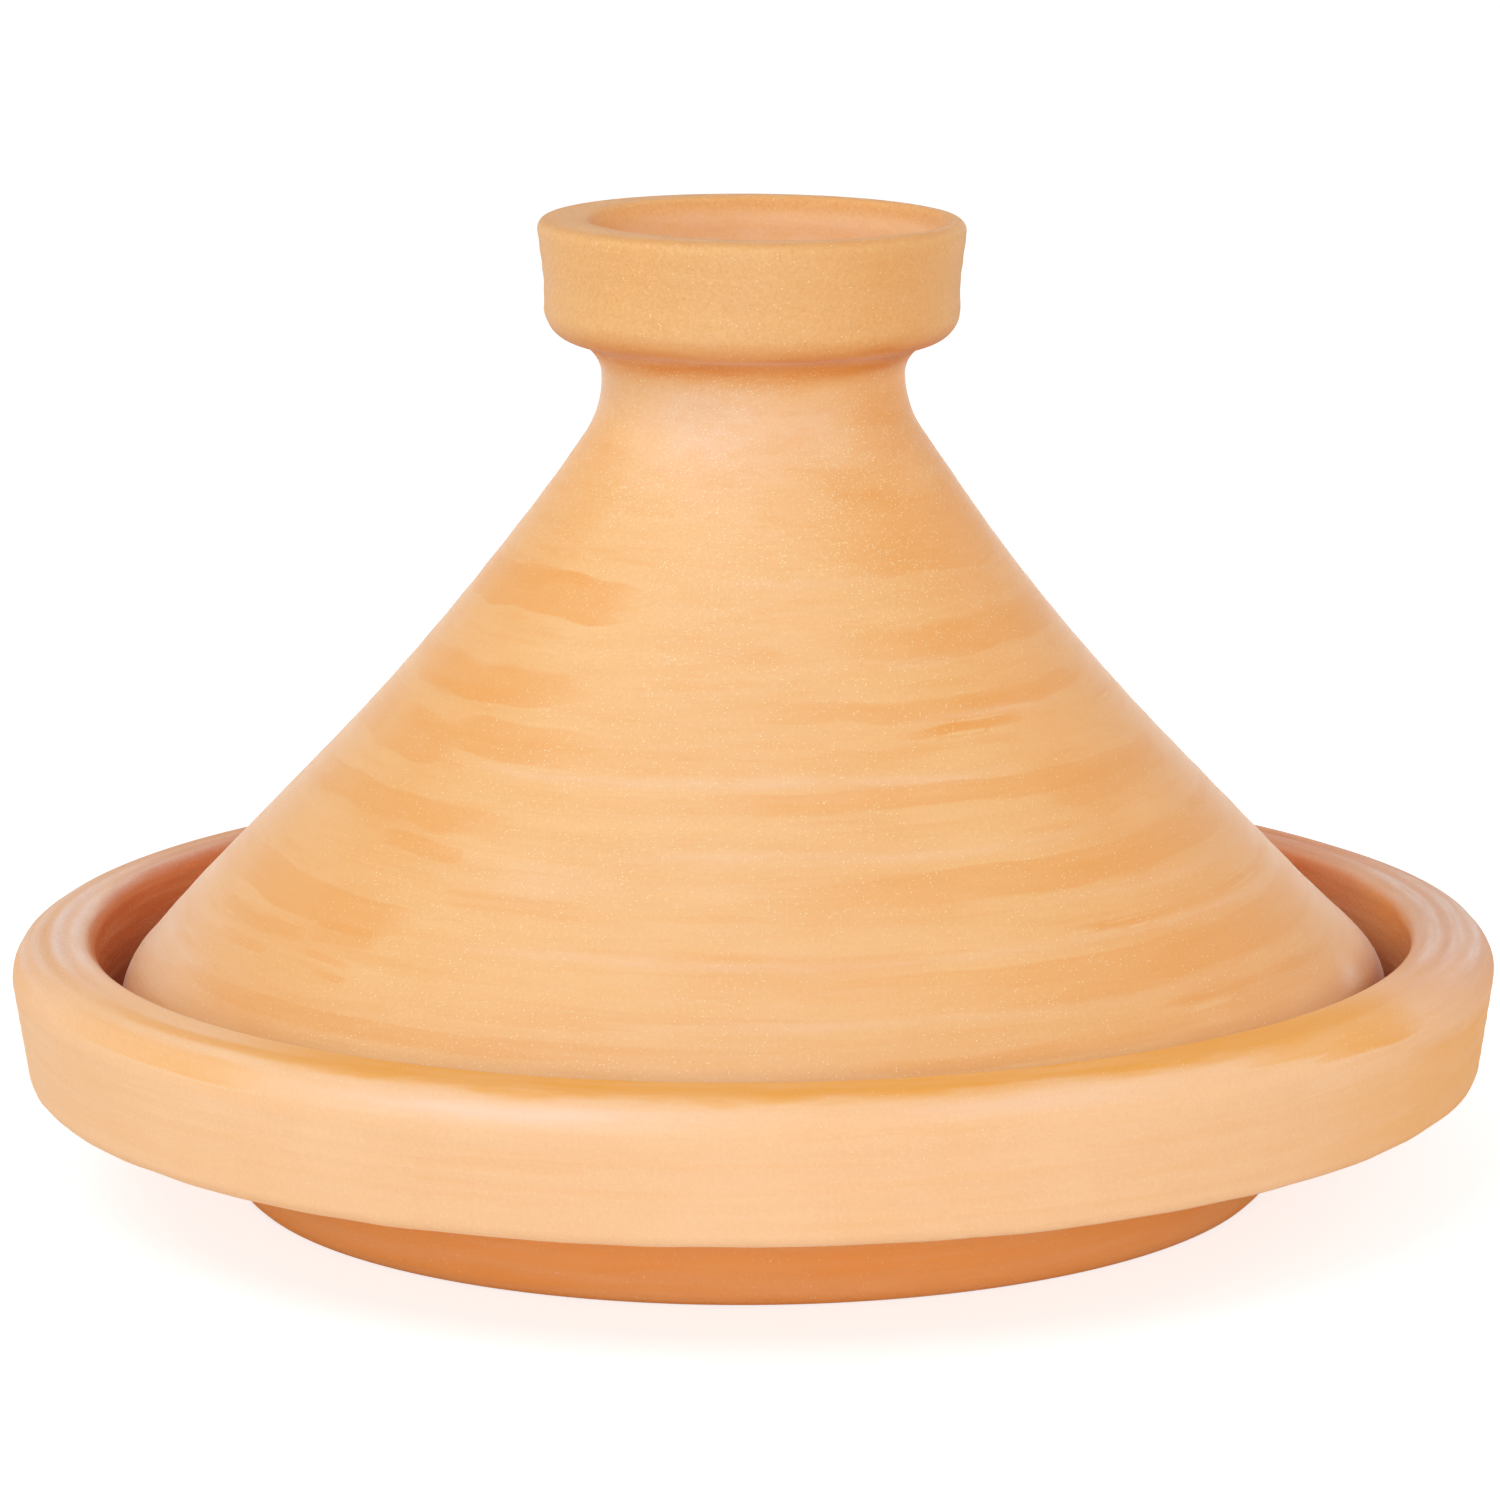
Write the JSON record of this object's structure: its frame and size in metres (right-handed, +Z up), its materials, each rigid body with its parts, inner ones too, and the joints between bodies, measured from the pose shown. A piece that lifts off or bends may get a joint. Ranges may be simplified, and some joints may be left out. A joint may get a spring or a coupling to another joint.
{
  "type": "tagine pot",
  "caption": "Unglazed clay tagine: a shallow footed dish with a thick rim, and a tall cone-shaped lid that stands on a ledge inside the rim and lifts off by its cup-shaped knob.",
  "frame": {"origin": "centre of the dish's flat foot, on the table", "axes": "+Z up along the axis on which both pieces were thrown; +Y away from the viewer of the picture"},
  "size_m": [0.3, 0.3, 0.1948],
  "materials": {
    "dish_clay": "unglazed fired earthenware, matt, with chalky throwing ridges",
    "lid_clay": "unglazed fired earthenware, matt to satin, with darker slip washes"
  },
  "bodies": {
    "dish": {"base_dish": "dish_clay"},
    "lid": {"lid": "lid_clay"}
  },
  "joints": [
    {"name": "lid_lift", "type": "slide", "parent": "dish", "child": "lid", "axis": [0, 0, 1], "range_m": [0, 0.12]}
  ]
}
